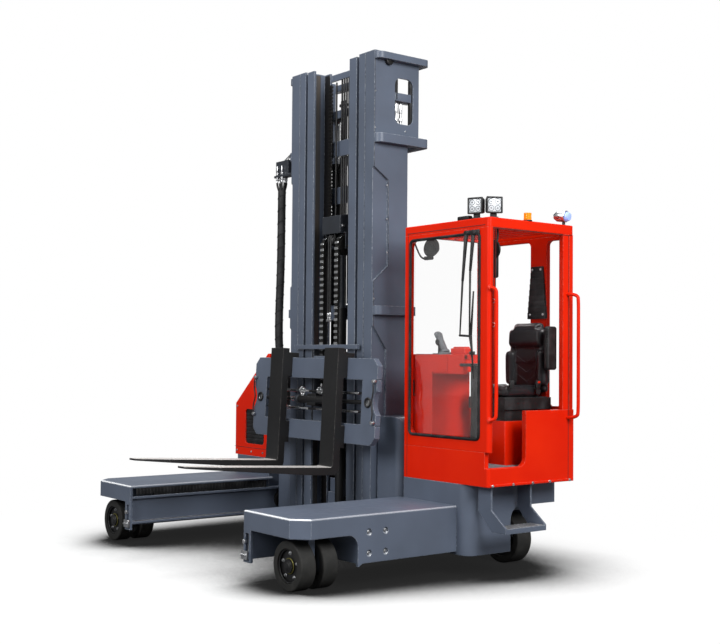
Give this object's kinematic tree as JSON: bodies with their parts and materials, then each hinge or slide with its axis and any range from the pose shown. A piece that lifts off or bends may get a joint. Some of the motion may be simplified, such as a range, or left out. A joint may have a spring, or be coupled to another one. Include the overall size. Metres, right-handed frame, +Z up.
{
  "type": "multidirectional forklift",
  "caption": "Sideways-steering reach truck: U-shaped chassis with two load arms, open cab, machine hood and a triple mast that reaches along the arms.",
  "frame": {"origin": "bottom centre of the whole truck's box, on the floor", "axes": "+X forward along the forks, +Y to the truck's left (cab side), +Z up"},
  "size_m": [2.6104, 3.649, 4.184],
  "materials": {
    "grey_paint": "semi-gloss paint",
    "red_paint": "semi-gloss paint",
    "black_paint": "satin paint",
    "bright_steel": "machined",
    "dark_steel": "oiled",
    "black_plastic": "moulded",
    "hose_wrap": "wrapped",
    "tyre_rubber": "solid tyre",
    "seat_vinyl": "stitched vinyl",
    "window_glass": "clear",
    "lamp_white": "clear lens",
    "amber": "amber lens",
    "brass": "machined"
  },
  "bodies": {
    "chassis": {"arm_left": "grey_paint", "arm_right": "grey_paint", "reach_rails": "grey_paint", "rear_frame": "grey_paint", "battery": "black_plastic", "battery_lid": "grey_paint", "energy_chain": "black_plastic", "hood": "red_paint", "hood_vent": "black_plastic", "cab_tub": "red_paint", "cab_frame": "red_paint", "cab_rear_wall": "red_paint", "cab_roof": "red_paint", "roof_bars": "red_paint", "front_glass": "window_glass", "grab_handles": "red_paint", "seat_base": "black_plastic", "seat_cushion": "seat_vinyl", "seat_back": "seat_vinyl", "armrest": "black_plastic", "console": "red_paint", "control_lever": "black_plastic", "steering_column": "black_plastic", "steering_wheel": "black_plastic", "cab_step": "grey_paint", "roof_lamps": "black_plastic", "beacon": "amber"},
    "mast_frame": {"reach_carriage": "grey_paint", "reach_rollers": "dark_steel", "outer_mast": "grey_paint", "mast_ribs": "grey_paint", "mast_ties": "grey_paint", "hose_bracket": "grey_paint", "hose_bundle": "hose_wrap"},
    "mid_stage": {"mid_mast": "grey_paint"},
    "inner_stage": {"inner_mast": "grey_paint", "free_lift_cylinder": "black_paint"},
    "chain_head": {"crosshead": "grey_paint", "chain_sheaves": "dark_steel", "lift_chains": "dark_steel"},
    "lifter": {"lift_carriage": "grey_paint", "lifter_bars": "grey_paint"},
    "fork_frame": {"fork_carriage": "grey_paint", "fork_positioner": "black_paint"},
    "left_fork": {"fork_left": "black_paint"},
    "right_fork": {"fork_right": "black_paint"},
    "front_left_steer": {"front_left_leg": "grey_paint"},
    "front_left_wheel": {"front_left_tyre": "tyre_rubber", "front_left_hub": "black_paint"},
    "front_right_steer": {"front_right_leg": "grey_paint"},
    "front_right_wheel": {"front_right_tyre": "tyre_rubber", "front_right_hub": "black_paint"},
    "rear_left_steer": {"rear_left_leg": "grey_paint"},
    "rear_left_wheel": {"rear_left_tyre": "tyre_rubber", "rear_left_hub": "black_paint"},
    "rear_right_steer": {"rear_right_leg": "grey_paint"},
    "rear_right_wheel": {"rear_right_tyre": "tyre_rubber", "rear_right_hub": "black_paint"}
  },
  "joints": [
    {"name": "mast_reach", "type": "slide", "parent": "chassis", "child": "mast_frame", "axis": [1, 0, 0], "range_m": [0, 1.2]},
    {"name": "mid_stage_lift", "type": "slide", "parent": "mast_frame", "child": "mid_stage", "axis": [0, 0, 1], "range_m": [0, 2.6]},
    {"name": "inner_stage_lift", "type": "slide", "parent": "mid_stage", "child": "inner_stage", "axis": [0, 0, 1], "range_m": [0, 2.6]},
    {"name": "free_lift", "type": "slide", "parent": "inner_stage", "child": "lifter", "axis": [0, 0, 1], "range_m": [-0.6, 2.2]},
    {"name": "chain_head_lift", "type": "slide", "parent": "inner_stage", "child": "chain_head", "axis": [0, 0, 1], "range_m": [-0.3, 1.1]},
    {"name": "fork_tilt", "type": "hinge", "parent": "lifter", "child": "fork_frame", "pos_m": [-0.23269, -0.2205, 1.005], "axis": [0, -1, 0], "range_deg": [-6, 2]},
    {"name": "left_fork_shift", "type": "slide", "parent": "fork_frame", "child": "left_fork", "axis": [0, 1, 0], "range_m": [-0.26, 0.38]},
    {"name": "right_fork_shift", "type": "slide", "parent": "fork_frame", "child": "right_fork", "axis": [0, -1, 0], "range_m": [-0.26, 0.38]},
    {"name": "front_left_steering", "type": "hinge", "parent": "chassis", "child": "front_left_steer", "pos_m": [0.84318, 1.1555, 0.1775], "axis": [0, 0, 1], "range_deg": [-100, 100]},
    {"name": "front_left_spin", "type": "hinge", "parent": "front_left_steer", "child": "front_left_wheel", "pos_m": [0.84318, 1.1555, 0.1775], "axis": [1, 0, 0], "continuous": true},
    {"name": "front_right_steering", "type": "hinge", "parent": "chassis", "child": "front_right_steer", "pos_m": [0.84318, -1.5965, 0.1775], "axis": [0, 0, 1], "range_deg": [-100, 100]},
    {"name": "front_right_spin", "type": "hinge", "parent": "front_right_steer", "child": "front_right_wheel", "pos_m": [0.84318, -1.5965, 0.1775], "axis": [1, 0, 0], "continuous": true},
    {"name": "rear_left_steering", "type": "hinge", "parent": "chassis", "child": "rear_left_steer", "pos_m": [-1.11282, 1.1765, 0.2], "axis": [0, 0, 1], "range_deg": [-100, 100]},
    {"name": "rear_left_spin", "type": "hinge", "parent": "rear_left_steer", "child": "rear_left_wheel", "pos_m": [-1.11282, 1.1765, 0.2], "axis": [1, 0, 0], "continuous": true},
    {"name": "rear_right_steering", "type": "hinge", "parent": "chassis", "child": "rear_right_steer", "pos_m": [-1.11282, -1.6175, 0.2], "axis": [0, 0, 1], "range_deg": [-100, 100]},
    {"name": "rear_right_spin", "type": "hinge", "parent": "rear_right_steer", "child": "rear_right_wheel", "pos_m": [-1.11282, -1.6175, 0.2], "axis": [1, 0, 0], "continuous": true}
  ],
  "couplings": [
    {"joint": "inner_stage_lift", "follows": "mid_stage_lift", "ratio": 1},
    {"joint": "chain_head_lift", "follows": "free_lift", "ratio": 0.5}
  ]
}
